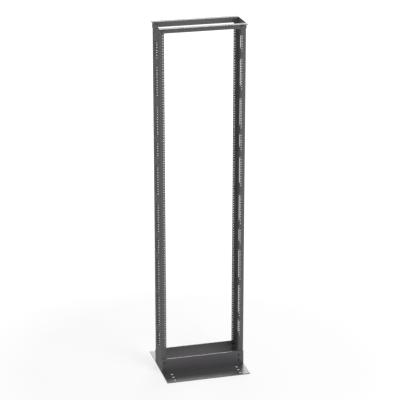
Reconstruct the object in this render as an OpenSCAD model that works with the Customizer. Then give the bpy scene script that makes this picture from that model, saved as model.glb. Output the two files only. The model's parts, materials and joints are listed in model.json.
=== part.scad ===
// Two post open frame rack: two channel uprights with rack hole columns and
// cable openings, tied by a pair of angles at the top and a pair on the floor.
// Millimetres. Origin on the floor in the middle, +X right, +Y back, +Z up.

/* [Frame] */
// Height from the floor to the top edge
rack_h = 2133.6; // [1200:0.1:2600]
// Depth of the uprights, front face to rear face
upright_d = 152.4; // [125:0.1:200]

/* [Uprights] */
// Width of each flange
flange_w = 31.75; // [28:0.05:40]
// Sheet thickness
sheet_t = 3.04; // [2:0.01:4]
// Inner radius of the bends
bend_r = 3; // [1:0.1:4]

/* [Rack holes] */
// Distance between the two hole columns
hole_cc = 465.1; // [400:0.1:600]
// Hole column to the free edge of its flange
hole_edge = 7.125; // [6:0.005:9]
// Height of one rack unit
unit_h = 44.45; // [40:0.01:50]
// First hole above the bottom of its unit
hole_first = 6.35; // [5:0.01:8]
// Step from a hole to the next inside a unit
hole_step = 15.875; // [14:0.001:17]
// Bore of a rack hole
hole_d = 5.5; // [4:0.1:7]
// Room from the base angles to the first unit
low_gap = 4.7625; // [2:0.0001:30]
// Least room from the last unit to the top angles
high_gap = 7.9375; // [2:0.0001:40]

/* [Web openings] */
// Width of every web opening
open_w = 82.55; // [60:0.05:95]
// Corner radius of a web opening
open_r = 25.4; // [10:0.1:30]
// Height of a short opening
open_short = 101.6; // [70:0.1:130]
// Middle of the lowest short opening above the floor
short_low_z = 201.3; // [180:0.1:260]
// Distance of one short opening to the next
short_pitch = 598; // [500:0.1:700]
// Bridge from a short opening down to the long pair below it
bridge_over = 41.2; // [25:0.1:60]
// Bridge inside a pair of long openings
bridge_mid = 53.5; // [30:0.1:70]
// Bridge from a long pair down to the next short opening
bridge_under = 32; // [20:0.1:50]
// Bridge above the lowest pair
low_bridge_over = 31; // [20:0.1:50]
// Bridge inside the lowest pair
low_bridge_mid = 25.5; // [20:0.1:50]
// Bridge below the lowest pair
low_bridge_under = 26; // [20:0.1:50]

/* [Top angles] */
// Leg length of a top angle
top_leg = 31.75; // [29:0.05:40]
// Thickness of a top angle
top_t = 4.76; // [3:0.01:5.5]
// Fillet between the legs of a top angle
top_fillet = 3.2; // [1:0.1:4]
// Rounding of the inner toe edges of a top angle
top_toe = 2.2; // [1:0.1:2.8]

/* [Base angles] */
// Height of the standing leg
base_leg_h = 88.9; // [80:0.1:130]
// Length of the floor leg
base_leg_d = 152.4; // [135:0.1:200]
// Thickness of a base angle
base_t = 4.76; // [3:0.01:6]
// Inner radius of its bend
base_bend_r = 4.8; // [2:0.1:7]
// Bore of a floor hole
floor_d = 16.7; // [10:0.1:19]
// Step from one floor hole to the next
floor_step = 39.6875; // [30:0.0001:45]
// Outermost floor hole to the front edge of the floor leg
floor_edge = 28.575; // [20:0.001:35]
// Floor holes to the end of the angle
floor_end = 53.975; // [40:0.001:70]

/* [Bolts] */
// Shank diameter
bolt_d = 9.525; // [8:0.001:10.5]
// Play of the shank in its hole
bolt_play = 0.8; // [0.3:0.1:1.5]
// Head and nut, across the flats
bolt_af = 14.2875; // [13:0.0001:16]
// Round face on the end of heads and nuts, across
hex_face_d = 13.5; // [11:0.1:14]
// Head height
head_h = 6; // [4:0.1:8]
// Nut height
nut_h = 8; // [6:0.1:9]
// Washer diameter
washer_d = 20.6; // [18:0.1:22]
// Washer thickness
washer_t = 1.6; // [1:0.1:2.5]
// Shank past the nut
shank_end = 3; // [1:0.1:6]
// Height of the lower base bolt
bolt_low_z = 27; // [24:0.1:31]
// Upper base bolt below the top edge of the standing leg
bolt_high_drop = 25.4; // [15:0.1:28]
// Room between the washer of a top bolt and the fillet above it
washer_room = 0.8; // [0.3:0.1:4]

/* [Hidden] */
hole_x = hole_cc / 2;
flange_x = hole_x - hole_edge;
half_w = flange_x + flange_w;
half_d = upright_d / 2;
web_x = half_w - sheet_t;
out_r = bend_r + sheet_t;
cut = 1;
chamfer_angle = 30;

unit_low_z = base_leg_h + low_gap;
unit_room = rack_h - top_leg - high_gap - unit_low_z;
unit_n = floor(unit_room / unit_h + 0.001);

// Bays of one short opening and the long pair below it, upwards from the floor.
bay_room = unit_low_z + unit_n * unit_h - open_short / 2 - short_low_z;
bay_n = floor(bay_room / short_pitch);

bolt_hole_d = bolt_d + bolt_play;
bolt_high_z = base_leg_h - bolt_high_drop;
top_bolt_z = rack_h - top_t - top_fillet - washer_room - washer_d / 2;
$fn = 48;

// ---- Profiles -------------------------------------------------------------

// Quarter disc in the first quadrant.
module quarter(r) {
  intersection() {
    circle(r);
    square(2 * r);
  }
}

// Quarter of a bent sheet, in the first quadrant round the bend's centre.
module quarter_bend(r, t) {
  intersection() {
    difference() {
      circle(r + t);
      circle(r);
    }
    square(2 * (r + t));
  }
}

// Half of the channel: half a web, a bend and a flange pointing inwards.
module half_channel_profile() {
  centre_x = half_w - out_r;
  centre_y = half_d - out_r;
  translate([web_x, 0])
    square([sheet_t, centre_y]);
  translate([centre_x, centre_y])
    quarter_bend(bend_r, sheet_t);
  translate([flange_x, half_d - sheet_t])
    square([centre_x - flange_x, sheet_t]);
}

module channel_profile() {
  half_channel_profile();
  mirror([0, 1])
    half_channel_profile();
}

// Leg of a rolled angle along +X, its inner toe edge rounded.
module rolled_leg(leg, t, toe) {
  square([leg - toe, t]);
  translate([leg - toe, 0])
    square([toe, t - toe]);
  translate([leg - toe, t - toe])
    quarter(toe);
}

// Rolled angle with its heel on the origin and its legs along +X and +Y.
module rolled_angle_profile(leg, t, fillet, toe) {
  rolled_leg(leg, t, toe);
  mirror([1, -1])
    rolled_leg(leg, t, toe);
  translate([t, t])
    difference() {
      square(fillet);
      translate([fillet, fillet])
        mirror([1, 0])
          mirror([0, 1])
            quarter(fillet);
    }
}

// Bent angle with its heel on the origin, one leg along +X and one along +Y.
module bent_angle_profile(along, up, t, r) {
  start = t + r;
  translate([start, 0])
    square([along - start, t]);
  translate([0, start])
    square([t, up - start]);
  translate([start, start])
    mirror([1, 0])
      mirror([0, 1])
        quarter_bend(r, t);
}

// ---- Holes ----------------------------------------------------------------

// Bore along Y, from y0 to y1 and a little past both.
module bore_y(x, z, y0, y1, d) {
  translate([x, y1 + cut, z])
    rotate([90, 0, 0])
      cylinder(h = y1 - y0 + 2 * cut, d = d);
}

module flange_bores(z, d) {
  bore_y(hole_x, z, half_d - sheet_t, half_d, d);
  bore_y(hole_x, z, -half_d, sheet_t - half_d, d);
}

module rack_holes() {
  for (u = [0 : unit_n - 1])
    for (i = [0, 1, 2])
      flange_bores(unit_low_z + u * unit_h + hole_first + i * hole_step, hole_d);
}

// Outline of a web opening with its lower edge at y = 0.
module opening_profile(tall) {
  flat_x = open_w / 2 - open_r;
  translate([-open_w / 2, open_r])
    square([open_w, tall - 2 * open_r]);
  translate([0, tall / 2])
    for (up = [0, 1])
      mirror([0, up])
        translate([0, tall / 2 - open_r]) {
          translate([-flat_x, 0])
            square([2 * flat_x, open_r]);
          for (side = [0, 1])
            mirror([side, 0])
              translate([flat_x, 0])
                quarter(open_r);
        }
}

module web_opening(low_z, tall) {
  translate([web_x - cut, 0, low_z])
    rotate([90, 0, 90])
      linear_extrude(sheet_t + 2 * cut)
        opening_profile(tall);
}

// The long pair that fills the space between two short openings.
module long_pair(short_z, under, mid, over) {
  tall = (short_pitch - open_short - under - mid - over) / 2;
  low_z = short_z + open_short / 2 + under;
  web_opening(low_z, tall);
  web_opening(low_z + tall + mid, tall);
}

module web_openings() {
  for (i = [0 : bay_n])
    web_opening(short_low_z + i * short_pitch - open_short / 2, open_short);
  long_pair(short_low_z, low_bridge_under, low_bridge_mid, low_bridge_over);
  if (bay_n > 1)
    for (i = [1 : bay_n - 1])
      long_pair(short_low_z + i * short_pitch, bridge_under, bridge_mid, bridge_over);
}

// ---- Pieces, each made for the rear right corner or the rear side -----------

module upright() {
  difference() {
    linear_extrude(rack_h)
      channel_profile();
    web_openings();
    rack_holes();
    for (z = [bolt_low_z, bolt_high_z, top_bolt_z])
      flange_bores(z, bolt_hole_d);
  }
}

module top_angle() {
  difference() {
    translate([-half_w, half_d, rack_h])
      rotate([90, 0, 90])
        linear_extrude(2 * half_w)
          mirror([0, 1])
            rolled_angle_profile(top_leg, top_t, top_fillet, top_toe);
    for (x = [-hole_x, hole_x])
      bore_y(x, top_bolt_z, half_d, half_d + top_t, bolt_hole_d);
  }
}

module base_angle() {
  difference() {
    translate([-half_w, half_d, 0])
      rotate([90, 0, 90])
        linear_extrude(2 * half_w)
          bent_angle_profile(base_leg_d, base_leg_h, base_t, base_bend_r);
    for (x = [-hole_x, hole_x])
      for (z = [bolt_low_z, bolt_high_z])
        bore_y(x, z, half_d, half_d + base_t, bolt_hole_d);
    for (x = [floor_end - half_w, half_w - floor_end])
      for (i = [0, 1, 2])
        translate([x, half_d + base_leg_d - floor_edge - i * floor_step, -cut])
          cylinder(h = base_t + 2 * cut, d = floor_d);
  }
}

// Hexagon along +Z, chamfered round its far end.
module hex_block(tall) {
  flat_r = hex_face_d / 2;
  past_r = bolt_af;
  intersection() {
    rotate([0, 0, 30])
      cylinder(h = tall, d = bolt_af / cos(30), $fn = 6);
    rotate_extrude()
      polygon([
        [0, -cut], [past_r, -cut],
        [past_r, tall - (past_r - flat_r) * tan(chamfer_angle)],
        [flat_r, tall], [0, tall]
      ]);
  }
}

// Bolt with its washer on the face at seat, its shank running inwards.
module bolt(z, seat, grip) {
  shank = grip + nut_h + shank_end;
  translate([hole_x, seat, z])
    rotate([-90, 0, 0]) {
      translate([0, 0, -shank])
        cylinder(h = shank + washer_t, d = bolt_d);
      cylinder(h = washer_t, d = washer_d);
      translate([0, 0, washer_t])
        hex_block(head_h);
    }
}

// Nut on the inner face of the flange.
module nut(z) {
  translate([hole_x, half_d - sheet_t, z])
    rotate([90, 0, 0])
      difference() {
        hex_block(nut_h);
        translate([0, 0, -cut])
          cylinder(h = nut_h + 2 * cut, d = bolt_d);
      }
}

module base_bolts() {
  for (z = [bolt_low_z, bolt_high_z])
    bolt(z, half_d + base_t, base_t + sheet_t);
}

module base_nuts() {
  for (z = [bolt_low_z, bolt_high_z])
    nut(z);
}

module top_bolt() {
  bolt(top_bolt_z, half_d + top_t, top_t + sheet_t);
}

module top_nut() {
  nut(top_bolt_z);
}

// Carries a piece of the rear right corner to another corner.
module to_left() {
  mirror([1, 0, 0])
    children();
}

module to_front() {
  mirror([0, 1, 0])
    children();
}

// ---- Nodes ----------------------------------------------------------------

module upright_left() {
  color([0.13, 0.13, 0.13])
    to_left()
      upright();
}

module upright_right() {
  color([0.13, 0.13, 0.13])
    upright();
}

module top_angle_front() {
  color([0.14, 0.14, 0.14])
    to_front()
      top_angle();
}

module top_angle_rear() {
  color([0.14, 0.14, 0.14])
    top_angle();
}

module base_angle_front() {
  color([0.12, 0.12, 0.12])
    to_front()
      base_angle();
}

module base_angle_rear() {
  color([0.12, 0.12, 0.12])
    base_angle();
}

module base_bolts_front_left() {
  color([0.2, 0.2, 0.2])
    to_front()
      to_left()
        base_bolts();
}

module base_bolts_front_right() {
  color([0.2, 0.2, 0.2])
    to_front()
      base_bolts();
}

module base_bolts_rear_left() {
  color([0.2, 0.2, 0.2])
    to_left()
      base_bolts();
}

module base_bolts_rear_right() {
  color([0.2, 0.2, 0.2])
    base_bolts();
}

module base_nuts_front_left() {
  color([0.2, 0.2, 0.2])
    to_front()
      to_left()
        base_nuts();
}

module base_nuts_front_right() {
  color([0.2, 0.2, 0.2])
    to_front()
      base_nuts();
}

module base_nuts_rear_left() {
  color([0.2, 0.2, 0.2])
    to_left()
      base_nuts();
}

module base_nuts_rear_right() {
  color([0.2, 0.2, 0.2])
    base_nuts();
}

module top_bolt_front_left() {
  color([0.2, 0.2, 0.2])
    to_front()
      to_left()
        top_bolt();
}

module top_bolt_front_right() {
  color([0.2, 0.2, 0.2])
    to_front()
      top_bolt();
}

module top_bolt_rear_left() {
  color([0.2, 0.2, 0.2])
    to_left()
      top_bolt();
}

module top_bolt_rear_right() {
  color([0.2, 0.2, 0.2])
    top_bolt();
}

module top_nut_front_left() {
  color([0.2, 0.2, 0.2])
    to_front()
      to_left()
        top_nut();
}

module top_nut_front_right() {
  color([0.2, 0.2, 0.2])
    to_front()
      top_nut();
}

module top_nut_rear_left() {
  color([0.2, 0.2, 0.2])
    to_left()
      top_nut();
}

module top_nut_rear_right() {
  color([0.2, 0.2, 0.2])
    top_nut();
}

upright_left();
upright_right();
top_angle_front();
top_angle_rear();
base_angle_front();
base_angle_rear();
base_bolts_front_left();
base_bolts_front_right();
base_bolts_rear_left();
base_bolts_rear_right();
base_nuts_front_left();
base_nuts_front_right();
base_nuts_rear_left();
base_nuts_rear_right();
top_bolt_front_left();
top_bolt_front_right();
top_bolt_rear_left();
top_bolt_rear_right();
top_nut_front_left();
top_nut_front_right();
top_nut_rear_left();
top_nut_rear_right();
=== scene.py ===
# %% [markdown]
# # Two post open frame rack
# This notebook dresses a steel equipment rack: two channel uprights with hole
# columns and cable openings, a pair of small angles at the top and a pair of
# large angles on the floor. The exact steel comes from the frame. What is added
# here is the finish of every surface, the threads in the rack holes and the
# studio around them.

# %% Load the steel
import json
import math
import bpy
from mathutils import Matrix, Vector


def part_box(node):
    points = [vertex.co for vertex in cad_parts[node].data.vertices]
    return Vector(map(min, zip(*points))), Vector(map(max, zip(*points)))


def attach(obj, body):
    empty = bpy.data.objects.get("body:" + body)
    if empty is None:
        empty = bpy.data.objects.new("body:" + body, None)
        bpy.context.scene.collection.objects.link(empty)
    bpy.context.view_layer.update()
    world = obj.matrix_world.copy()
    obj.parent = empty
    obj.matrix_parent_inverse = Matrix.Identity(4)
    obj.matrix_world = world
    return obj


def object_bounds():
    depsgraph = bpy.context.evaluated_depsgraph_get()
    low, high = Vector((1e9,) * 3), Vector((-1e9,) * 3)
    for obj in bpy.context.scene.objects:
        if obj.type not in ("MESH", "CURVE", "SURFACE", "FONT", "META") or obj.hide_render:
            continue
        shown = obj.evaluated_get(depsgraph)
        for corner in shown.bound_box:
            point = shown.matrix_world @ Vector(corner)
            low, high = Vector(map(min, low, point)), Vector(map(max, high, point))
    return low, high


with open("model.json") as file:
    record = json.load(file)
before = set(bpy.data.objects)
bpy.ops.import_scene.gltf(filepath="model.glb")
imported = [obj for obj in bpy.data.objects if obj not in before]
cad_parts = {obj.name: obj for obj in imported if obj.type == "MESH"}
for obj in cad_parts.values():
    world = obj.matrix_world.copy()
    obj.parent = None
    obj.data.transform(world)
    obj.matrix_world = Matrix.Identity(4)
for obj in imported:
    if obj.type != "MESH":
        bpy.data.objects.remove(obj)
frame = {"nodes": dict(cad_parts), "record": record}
cad_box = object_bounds()
low, high = Vector(cad_box[0]), Vector(cad_box[1])
MM = 0.001
print("frame of", len(frame["nodes"]), "nodes,", tuple(round(v, 3) for v in high - low), "m")

# %% [markdown]
# ## The camera
# A long lens from a good distance, a little to the left of the rack and well
# above its middle, looking down. The uprights then lean only slightly together
# towards the floor. A camera is a place, three angles and a focal length.

# %% Camera
cam_data = bpy.data.cameras.new("studio_camera")
camera = bpy.data.objects.new("studio_camera", cam_data)
bpy.context.scene.collection.objects.link(camera)
camera.location = (-2.34421, -8.83218, 4.34468)
PITCH_DOWN, YAW_RIGHT = 19.77, 14.89
camera.rotation_euler = (math.radians(90 - PITCH_DOWN), 0, math.radians(-YAW_RIGHT))
cam_data.sensor_width = 36
cam_data.lens = 147.84
cam_data.clip_end = 60
cam_data.dof.use_dof = False
bpy.context.scene.camera = camera
print("camera", [round(v, 2) for v in camera.location], "lens", round(cam_data.lens, 1))

# %% [markdown]
# ## Shader maths in Python
# Node graphs are easier to read as expressions. `Wire` wraps an output socket:
# adding, multiplying or comparing two wires adds the Math node that does it.
# `Shader.node` adds any other node from its type, its settings and its inputs.

# %% Wire
class Wire:
    def __init__(self, shader, socket):
        self.shader, self.socket = shader, socket

    def _math(self, operation, a, b=None, clamp=False):
        values = {0: a} if b is None else {0: a, 1: b}
        settings = {"operation": operation, "use_clamp": clamp}
        return self.shader.node("ShaderNodeMath", settings, values)

    def __add__(self, other):
        return self._math("ADD", self, other)

    __radd__ = __add__

    def __mul__(self, other):
        return self._math("MULTIPLY", self, other)

    __rmul__ = __mul__

    def __sub__(self, other):
        return self._math("SUBTRACT", self, other)

    def __rsub__(self, other):
        return self._math("SUBTRACT", other, self)

    def __lt__(self, other):
        return self._math("LESS_THAN", self, other)

    def absolute(self):
        return self._math("ABSOLUTE", self)

    def clamped(self):
        return self._math("ADD", self, 0.0, clamp=True)


# %% Shader
EDGE_GAIN = 6.0


class Shader:
    """The node tree of a material, or of the world, while it is being wired."""

    def __init__(self, owner, output_kind="ShaderNodeOutputMaterial"):
        self.owner = owner
        owner.use_nodes = True
        self.tree = owner.node_tree
        self.tree.nodes.clear()
        self.output = self.tree.nodes.new(output_kind)

    def node(self, kind, settings=None, inputs=None, out=0):
        made = self.tree.nodes.new(kind)
        for key, value in (settings or {}).items():
            setattr(made, key, value)
        for key, value in (inputs or {}).items():
            if isinstance(value, Wire):
                self.tree.links.new(value.socket, made.inputs[key])
            else:
                made.inputs[key].default_value = value
        return Wire(self, made.outputs[out])

    def place(self):
        return self.node("ShaderNodeTexCoord", out="Object")

    def axis(self, at, letter):
        return self.node("ShaderNodeSeparateXYZ", {}, {0: at}, letter)

    def noise(self, at, scale, detail=3.0, roughness=0.5):
        values = {"Vector": at, "Scale": scale, "Detail": detail, "Roughness": roughness}
        return self.node("ShaderNodeTexNoise", {}, values)

    def mix(self, share, a, b):
        values = {0: share, 6: a, 7: b}
        return self.node("ShaderNodeMix", {"data_type": "RGBA"}, values, out=2)

    def bump(self, height, distance, strength=1.0, normal=None):
        values = {"Height": height, "Distance": distance, "Strength": strength}
        if normal is not None:
            values["Normal"] = normal
        return self.node("ShaderNodeBump", {}, values)

    def worn_edge(self, radius):
        """A rounded normal, and a mask that is 0 on a flat face and rises to 1 on an edge."""
        rounded = self.node("ShaderNodeBevel", {"samples": 6}, {"Radius": radius})
        flat = self.node("ShaderNodeNewGeometry", out="True Normal")
        settings = {"operation": "DOT_PRODUCT"}
        agree = self.node("ShaderNodeVectorMath", settings, {0: rounded, 1: flat}, "Value")
        return rounded, ((1 - agree) * EDGE_GAIN).clamped()

    def finish(self, surface):
        self.tree.links.new(surface.socket, self.output.inputs["Surface"])
        return self.owner


# %% [markdown]
# ## The paint
# The steel is powder coated in a dark grey, almost black. A powder coat is
# never quite smooth: it has a fine orange peel, a trace of larger waviness from
# the sheet, and it draws back a little from sharp edges, where handling wears it
# paler. All of it is noise of different sizes in the bump, with a slight change
# of tone and of gloss, and a mask that finds the edges. In the inside of the
# base angles' bend a mask paints shade into the coat, darker and duller, because
# a plain bend catches a light line there that doesn't suit the real steel. That
# is a touch. The mask comes from the bend's own place, so it follows the steel.

# %% Powder coat
TONE_SWING = 0.10
BARE_GAIN = 1.9
# Painted shade in the base angles' inside bend: the tone's gain there, its share, and the added
# roughness.
FOLD_SHADE_GAIN, FOLD_SHADE_SHARE, FOLD_DULL = 0.3, 0.9, 0.4
MEAN_PATCH = 0.09
WAVE_H = 0.4 * MM
EDGE_R = 0.8 * MM


def shade(tone, gain):
    """The tone made darker or paler, as an opaque colour."""
    return tuple(v * gain for v in tone) + (1,)


def painted_fold_shade(s, at, corner_y, corner_z, reach):
    """Mask of the painted shade: 1 in the inside of a bend along X at (+-corner_y, corner_z), fading
    to 0 at reach.
    """
    y_off = (s.axis(at, "Y").absolute() - corner_y).absolute()
    z_off = (s.axis(at, "Z") - corner_z).absolute()
    return (1 - (y_off + z_off) * (1 / reach)).clamped()


def powder_coat(name, tone, gloss, specular, peel, wear=0.35, fold_shade_place=None):
    s = Shader(bpy.data.materials.new(name))
    at = s.place()
    cloud = s.noise(at, 3.1, 4.0, 0.55)
    smudge = s.noise(at, 14.0, 4.0, 0.6)
    speck = s.noise(at, 1100.0, 2.0, 0.6)
    grain = s.noise(at, 420.0, 3.0, 0.55)
    wave = s.noise(at, 9.0, 2.0, 0.5)
    rounded, edge = s.worn_edge(EDGE_R)
    dark, pale = shade(tone, 1 - TONE_SWING), shade(tone, 1 + TONE_SWING)
    coat = s.mix((cloud * 0.6 + speck * 0.4).clamped(), dark, pale)
    colour = s.mix((edge * smudge * wear).clamped(), coat, shade(tone, BARE_GAIN))
    patches = cloud * 0.05 + smudge * 0.08 + speck * 0.05
    rough = (patches + (gloss - MEAN_PATCH)).clamped()
    # Painted shade: the inside of the bend is darkened in colour, and its gloss is dulled.
    if fold_shade_place is not None:
        fold_shade_mask = painted_fold_shade(s, at, *fold_shade_place)
        colour = s.mix(fold_shade_mask * FOLD_SHADE_SHARE, colour, shade(tone, FOLD_SHADE_GAIN))
        rough = (rough + fold_shade_mask * FOLD_DULL).clamped()
    height = grain * 0.7 + speck * 0.3
    normal = s.bump(height, peel, normal=s.bump(wave, WAVE_H, 0.5, rounded))
    values = {"Base Color": colour, "Roughness": rough, "Normal": normal, "IOR": 1.5,
              "Specular IOR Level": specular}
    return s.finish(s.node("ShaderNodeBsdfPrincipled", {}, values))


# %% The three paints
UPRIGHT_TONE = (0.0925, 0.0898, 0.0916)
ANGLE_TONE = (0.078, 0.0757, 0.077)
BASE_TONE = (0.081, 0.0765, 0.081)
upright_paint = powder_coat("upright_powder_coat", UPRIGHT_TONE, 0.72, 0.20, 0.09 * MM)
top_paint = powder_coat("top_angle_powder_coat", ANGLE_TONE, 0.46, 0.4, 0.05 * MM)
FOLD_REACH = 12 * MM
mounts = {m["name"]: m for m in frame["record"]["mounts"]}
plate_t = 2 * mounts["floor_holes_inner"]["pos_m"][2]
leg_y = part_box("upright_left")[1][1] + plate_t
# The place and reach of the painted shade in the base angles' bend.
base_fold_shade = (leg_y, plate_t, FOLD_REACH)
base_paint = powder_coat("base_powder_coat_fold_shade", BASE_TONE, 0.30, 0.5, 0.05 * MM, fold_shade_place=base_fold_shade)
PAINT = {"upright": upright_paint, "top_angle": top_paint, "base_angle": base_paint}
print("paints", [m.name for m in PAINT.values()])

# %% [markdown]
# ## Bolts and nuts
# The fasteners are black oxide steel: a little darker than the paint, worn pale
# on the corners of the hexagons, and with the thread showing on the ends of the
# shanks. The threads are 16 to the inch, so a ridge every 1.5875 mm. Ridges of
# their own would be a wound mesh on a few millimetres that hardly show, so they
# are a saw tooth along the shank's length in the bump. A mask keeps them to
# where the shank stands past its nut.

# %% Oxide finish
SHANK_PITCH = 25.4 * MM / 16
SKIN_DARK, SKIN_PALE = (0.052, 0.050, 0.052, 1), (0.078, 0.075, 0.077, 1)
BARE_STEEL = (0.22, 0.215, 0.21, 1)


def oxide(name, thread_past=None):
    s = Shader(bpy.data.materials.new(name))
    at = s.place()
    cloud = s.noise(at, 60.0, 3.0, 0.6)
    scratch = s.noise(at, 700.0, 4.0, 0.65)
    rounded, edge = s.worn_edge(0.6 * MM)
    skin = s.mix(cloud, SKIN_DARK, SKIN_PALE)
    colour = s.mix((edge * scratch * 0.9).clamped(), skin, BARE_STEEL)
    rough = (cloud * 0.10 + scratch * 0.12 + 0.24).clamped()
    normal = s.bump(scratch, 0.02 * MM, normal=rounded)
    if thread_past is not None:
        depth = s.axis(at, "Y").absolute()
        settings = {"operation": "PINGPONG"}
        tooth = s.node("ShaderNodeMath", settings, {0: depth, 1: SHANK_PITCH / 2})
        normal = s.bump(tooth * (depth < thread_past), 1.0, normal=normal)
    values = {"Base Color": colour, "Roughness": rough, "Normal": normal, "IOR": 1.5}
    return s.finish(s.node("ShaderNodeBsdfPrincipled", {}, values))


# %% A finish for every node
nut_finish = oxide("black_oxide_nut")
bolt_finishes = {}


def finish_for(name):
    """The paint of a node, or for a bolt the oxide with its thread past its own nut."""
    for key, paint in PAINT.items():
        if name.startswith(key):
            return paint
    if "nut" in name:
        return nut_finish
    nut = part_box(name.replace("bolt", "nut"))
    inner = min(abs(nut[0][1]), abs(nut[1][1]))
    key = round(inner / MM, 2)
    if key not in bolt_finishes:
        bolt_finishes[key] = oxide("black_oxide_bolt_" + str(len(bolt_finishes) + 1), inner)
    return bolt_finishes[key]


for name, node in frame["nodes"].items():
    finish = finish_for(name)
    for slot in node.material_slots:
        slot.material = finish
    print(name, "->", finish.name)

# %% [markdown]
# ## The rack holes' threads
# Every rack hole is tapped 24 to the inch, so that equipment screws go straight
# in. A thread is one ridge that winds round the hole. It is modelled as a small
# triangle, wound twice round by the Screw modifier and closed at both ends.
# Two Array modifiers repeat it, three holes to a unit and all the units up the
# column, and each of the four columns is a copy with its own mesh. The holes'
# places come from the mounts in the frame.

# %% Where the holes are
first, last = mounts["front_unit_01"], mounts["front_unit_45"]
UNITS = 45
unit_h = (last["pos_m"][2] - first["pos_m"][2]) / (UNITS - 1)
hole_step = first["dims"]["spacing_y_mm"] / 2 * MM
hole_x = first["dims"]["spacing_x_mm"] / 2 * MM
hole_r = first["dims"]["hole_r_mm"] * MM
low_hole_z = first["pos_m"][2] - hole_step
sheet_mid = abs(first["pos_m"][1])
sheet_t = 2 * (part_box("upright_left")[1][1] - sheet_mid)
print("units", UNITS, "of", round(unit_h / MM, 2), "mm, sheet", round(sheet_t / MM, 2), "mm")


# %% One thread
RIDGE_H, RIDGE_SINK = 0.45 * MM, 0.05 * MM
TURN_STEPS = 12


def only(piece):
    bpy.ops.object.select_all(action="DESELECT")
    piece.select_set(True)
    bpy.context.view_layer.objects.active = piece


def apply_modifiers(piece):
    only(piece)
    for name in [m.name for m in piece.modifiers]:
        bpy.ops.object.modifier_apply(modifier=name)


def tapped_thread(name, wall_r, depth, pitch, turns):
    """One ridge round a hole of wall_r along Y, centred on the origin, its crest inwards.

    The section is a triangle in a circle of section_r, so it is 1.5 section_r tall.
    """
    half_base = (depth - turns * pitch) / 2
    section_r = half_base / math.cos(math.radians(30))
    squeeze = (RIDGE_H + RIDGE_SINK) / (1.5 * section_r)
    here = (0, 0, 0)
    bpy.ops.object.select_all(action="DESELECT")
    bpy.ops.mesh.primitive_circle_add(vertices=3, radius=section_r, fill_type="NOTHING")
    thread = bpy.context.active_object
    thread.name = name
    bpy.ops.object.mode_set(mode="EDIT")
    bpy.ops.mesh.select_all(action="SELECT")
    bpy.ops.transform.rotate(value=math.radians(90), orient_axis="X", center_override=here)
    bpy.ops.transform.rotate(value=math.radians(-90), orient_axis="Y", center_override=here)
    bpy.ops.transform.resize(value=(squeeze, 1, 1), center_override=here)
    base_x = wall_r + RIDGE_SINK - 0.5 * section_r * squeeze
    bpy.ops.transform.translate(value=(base_x, 0, -turns * pitch / 2))
    bpy.ops.object.mode_set(mode="OBJECT")
    wind = thread.modifiers.new("wind", "SCREW")
    wind.axis = "Z"
    wind.angle = math.tau
    wind.iterations = turns
    wind.screw_offset = pitch
    wind.steps = wind.render_steps = TURN_STEPS
    apply_modifiers(thread)
    bpy.ops.object.mode_set(mode="EDIT")
    bpy.ops.mesh.select_mode(type="EDGE")
    bpy.ops.mesh.select_all(action="DESELECT")
    bpy.ops.mesh.select_non_manifold()
    bpy.ops.mesh.edge_face_add()
    bpy.ops.mesh.select_all(action="SELECT")
    bpy.ops.mesh.normals_make_consistent(inside=False)
    bpy.ops.transform.rotate(value=math.radians(90), orient_axis="X", center_override=here)
    bpy.ops.object.mode_set(mode="OBJECT")
    return thread


RACK_PITCH = 25.4 * MM / 24
END_ROOM = 0.1 * MM
thread = tapped_thread("rack_hole_threads", hole_r, sheet_t - END_ROOM, RACK_PITCH, 2)
print("one thread:", len(thread.data.polygons), "faces")


# %% The four columns
def repeat(piece, count, step_z):
    rows = piece.modifiers.new("repeat", "ARRAY")
    rows.count = count
    rows.use_relative_offset = False
    rows.use_constant_offset = True
    rows.constant_offset_displace = (0, 0, step_z)
    apply_modifiers(piece)


def shifted_copy(piece, name, offset):
    made = piece.copy()
    made.data = piece.data.copy()
    made.name = made.data.name = name
    bpy.context.scene.collection.objects.link(made)
    only(made)
    bpy.ops.object.mode_set(mode="EDIT")
    bpy.ops.mesh.select_all(action="SELECT")
    bpy.ops.transform.translate(value=offset)
    bpy.ops.object.mode_set(mode="OBJECT")
    return made


repeat(thread, 3, hole_step)
repeat(thread, UNITS, unit_h)
thread.data.materials.append(upright_paint)
for side, x in (("left", -hole_x), ("right", hole_x)):
    for face, y in (("front", -sheet_mid), ("rear", sheet_mid)):
        name = "rack_hole_threads_" + face + "_" + side
        column = shifted_copy(thread, name, (x, y, low_hole_z))
        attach(column, "root")
        print(name, len(column.data.polygons), "faces")
bpy.data.objects.remove(thread)

# %% [markdown]
# ## The floor
# The rack stands on pale paper that glows faintly, like a light table, so that
# the undersides and the hollow channels get light from below. The lens, a
# reflection and anything seen through glass find the paper white. Close to the
# rack a share of the lit paper is kept for the lens too, so the rack's soft
# shadow stays. White paint under strong lamps would do it as well, but then
# the lamps would burn out the steel.

# %% Floor
FLOOR_SIZE = 40
FLOOR_GLOW = 0.8
SEEN_GLOW = 1.2
SHADOW_SHARE = 0.38
FADE_FROM, FADE_OVER = 1.0, 2.0
PAPER, WHITE = (0.8, 0.8, 0.8, 1), (1, 1, 1, 1)
bpy.ops.object.select_all(action="DESELECT")
bpy.ops.mesh.primitive_plane_add(size=FLOOR_SIZE, location=(0, 0, 0))
floor = bpy.context.active_object
floor.name = "studio_floor"


def seen_rays(s):
    """1 for rays from the lens, a reflection or glass, and 0 for the rest."""
    kinds = ("Is Camera Ray", "Is Glossy Ray", "Is Transmission Ray")
    from_lens, mirrored, through_glass = [s.node("ShaderNodeLightPath", out=k) for k in kinds]
    return (from_lens + mirrored + through_glass).clamped()


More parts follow.
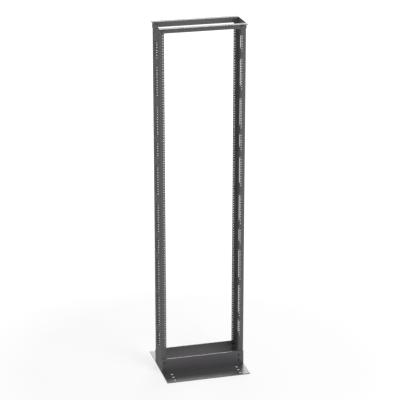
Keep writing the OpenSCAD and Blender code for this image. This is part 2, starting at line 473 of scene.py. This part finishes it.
def floor_paper():
    s = Shader(bpy.data.materials.new("studio_floor_paper"))
    settings = {"operation": "LENGTH"}
    from_rack = s.node("ShaderNodeVectorMath", settings, {0: s.place()}, "Value")
    far = ((from_rack - FADE_FROM) * (1 / FADE_OVER)).clamped()
    paper = s.node("ShaderNodeBsdfDiffuse", {}, {"Color": PAPER})
    white = s.node("ShaderNodeEmission", {}, {"Color": WHITE, "Strength": SEEN_GLOW})
    glow = s.node("ShaderNodeEmission", {}, {"Color": WHITE, "Strength": FLOOR_GLOW})
    lens_view = s.node("ShaderNodeMixShader", {}, {0: (1 - far) * SHADOW_SHARE, 1: white, 2: paper})
    table = s.node("ShaderNodeAddShader", {}, {0: paper, 1: glow})
    return s.finish(s.node("ShaderNodeMixShader", {}, {0: seen_rays(s), 1: table, 2: lens_view}))


floor.data.materials.append(floor_paper())
print("floor", FLOOR_SIZE, "m wide, glowing at", FLOOR_GLOW)

# %% [markdown]
# ## The surround
# Beyond the floor there is only the world. It gives a weak light from all
# round, which fills the sides that no lamp reaches, and the lens and reflections
# find it a pale grey. A dome of paper would do the same with more to bounce.

# %% Surround
WORLD_STRENGTH = 0.3
SURROUND_TONE = (0.8, 0.8, 0.8, 1)
surround = Shader(bpy.data.worlds.new("studio_surround"), "ShaderNodeOutputWorld")
soft = surround.node("ShaderNodeBackground", {}, {"Color": SURROUND_TONE, "Strength": WORLD_STRENGTH})
plain = surround.node("ShaderNodeBackground", {}, {"Color": SURROUND_TONE, "Strength": 1.0})
values = {0: seen_rays(surround), 1: soft, 2: plain}
bpy.context.scene.world = surround.finish(surround.node("ShaderNodeMixShader", {}, values))
print("surround at", WORLD_STRENGTH)

# %% [markdown]
# ## The lamps
# Two large soft boxes light the steel, one high in front on the right and one
# high behind. The one behind is low enough in the gloss of the flat legs to make
# their top faces bright. Area lamps are used because their size sets how soft
# a shadow is, and the lens doesn't see them.


# %% Lamps
def softbox(name, place, aim, size, power):
    data = bpy.data.lights.new(name, "AREA")
    data.shape = "RECTANGLE"
    data.size, data.size_y = size
    data.energy = power
    lamp = bpy.data.objects.new(name, data)
    lamp.location = place
    lamp.rotation_euler = (Vector(aim) - Vector(place)).to_track_quat("-Z", "Y").to_euler()
    lamp.visible_camera = False
    bpy.context.scene.collection.objects.link(lamp)
    print(name, size, "m,", power, "W")


MIDDLE = (0, 0, 1.05)
softbox("key_box", (3.0, -5.0, 4.6), MIDDLE, (4.0, 4.0), 265)
softbox("back_box", (1.6, 6.0, 3.4), MIDDLE, (5.0, 3.6), 285)

# %% [markdown]
# ## Finish
# Colours are shown as they are, with no film curve. The denoiser takes its guide
# pictures unfiltered, or the rows of small holes would melt into the paint.

# %% Finish
scene = bpy.context.scene
scene.view_settings.view_transform = "Standard"
scene.cycles.denoising_prefilter = "NONE"
